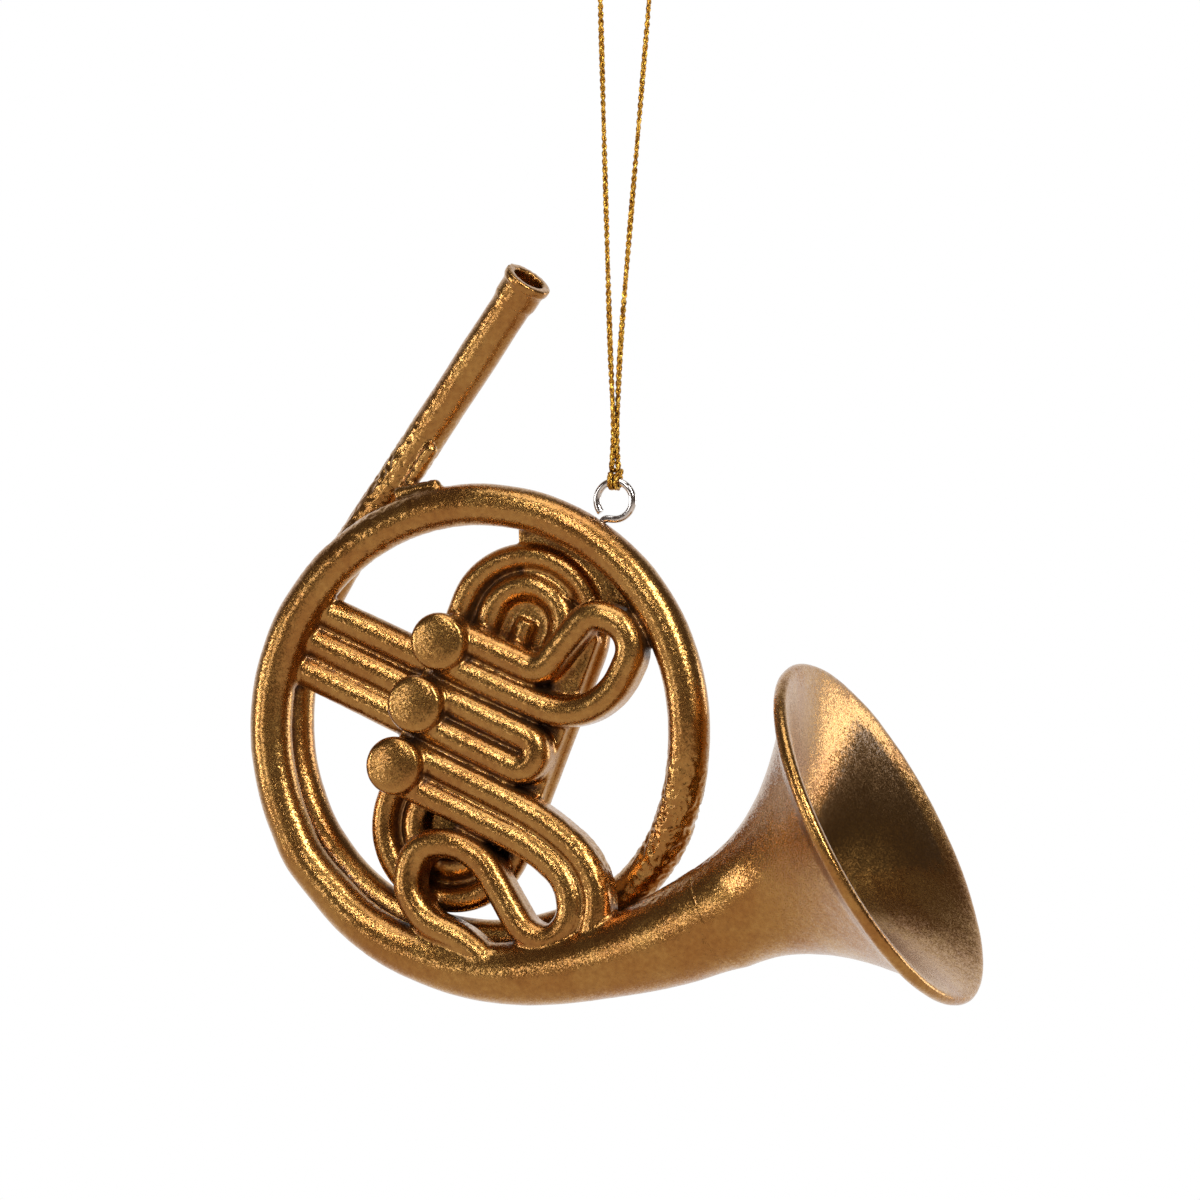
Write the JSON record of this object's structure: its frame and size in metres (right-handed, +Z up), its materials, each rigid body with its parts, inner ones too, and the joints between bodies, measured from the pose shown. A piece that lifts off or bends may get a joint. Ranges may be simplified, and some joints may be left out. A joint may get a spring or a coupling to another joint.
{
  "type": "french horn ornament",
  "caption": "Hanging french horn ornament: a cast gold horn with coil, bell, valves and slides, a screw eye and a loop of metallic cord.",
  "frame": {"origin": "underside of the top of the cord loop, where it hangs on its hook", "axes": "+Z up, -Y out of the horn's front, +X towards the bell"},
  "size_m": [0.1025, 0.0512, 0.1451],
  "materials": {
    "gold_resin": "antique gold paint with fine mica sparkle, brown patina in the grooves",
    "steel_wire": "bright nickel plated wire",
    "gold_cord": "braided metallic yarn"
  },
  "bodies": {
    "cord_loop": {"cord_loop_top": "gold_cord", "cord_knot": "gold_cord", "cord_leg_left": "gold_cord", "cord_leg_right": "gold_cord"},
    "cord_neck": {"cord_neck_left": "gold_cord", "cord_neck_right": "gold_cord", "hitch_bight": "gold_cord"},
    "hitch": {"hitch_wrap_left": "gold_cord", "hitch_wrap_right": "gold_cord"},
    "horn": {"back_coil": "gold_resin", "back_loop_inner": "gold_resin", "back_loop_outer": "gold_resin", "bell_flare": "gold_resin", "bell_rim": "gold_resin", "bell_tail": "gold_resin", "brace_foot": "gold_resin", "coil_bracket": "gold_resin", "leadpipe": "gold_resin", "leadpipe_brace": "gold_resin", "loop_nub": "gold_resin", "loop_web": "gold_resin", "main_coil": "gold_resin", "mouthpiece_receiver": "gold_resin", "screw_eye": "steel_wire", "valve_bed": "gold_resin", "valve_cap_1": "gold_resin", "valve_cap_2": "gold_resin", "valve_cap_3": "gold_resin", "valve_casing_1": "gold_resin", "valve_casing_2": "gold_resin", "valve_casing_3": "gold_resin", "valve_lever_1": "gold_resin", "valve_lever_2": "gold_resin", "valve_lever_3": "gold_resin", "valve_slide_1": "gold_resin", "valve_slide_2": "gold_resin", "valve_slide_3_long_run": "gold_resin", "valve_slide_3_loop": "gold_resin"}
  },
  "joints": [
    {"name": "cord_twist", "type": "hinge", "parent": "cord_loop", "child": "cord_neck", "pos_m": [-0.00135, 0, -0.0571], "axis": [0, 0, 1], "range_deg": [-180, 180]},
    {"name": "front_back_tip", "type": "hinge", "parent": "cord_neck", "child": "hitch", "pos_m": [-0.00135, 0, -0.07103], "axis": [1, 0, 0], "range_deg": [-55, 55]},
    {"name": "side_swing", "type": "hinge", "parent": "hitch", "child": "horn", "pos_m": [-0.00135, 0, -0.0736], "axis": [0, -1, 0], "range_deg": [-12, 95]}
  ]
}
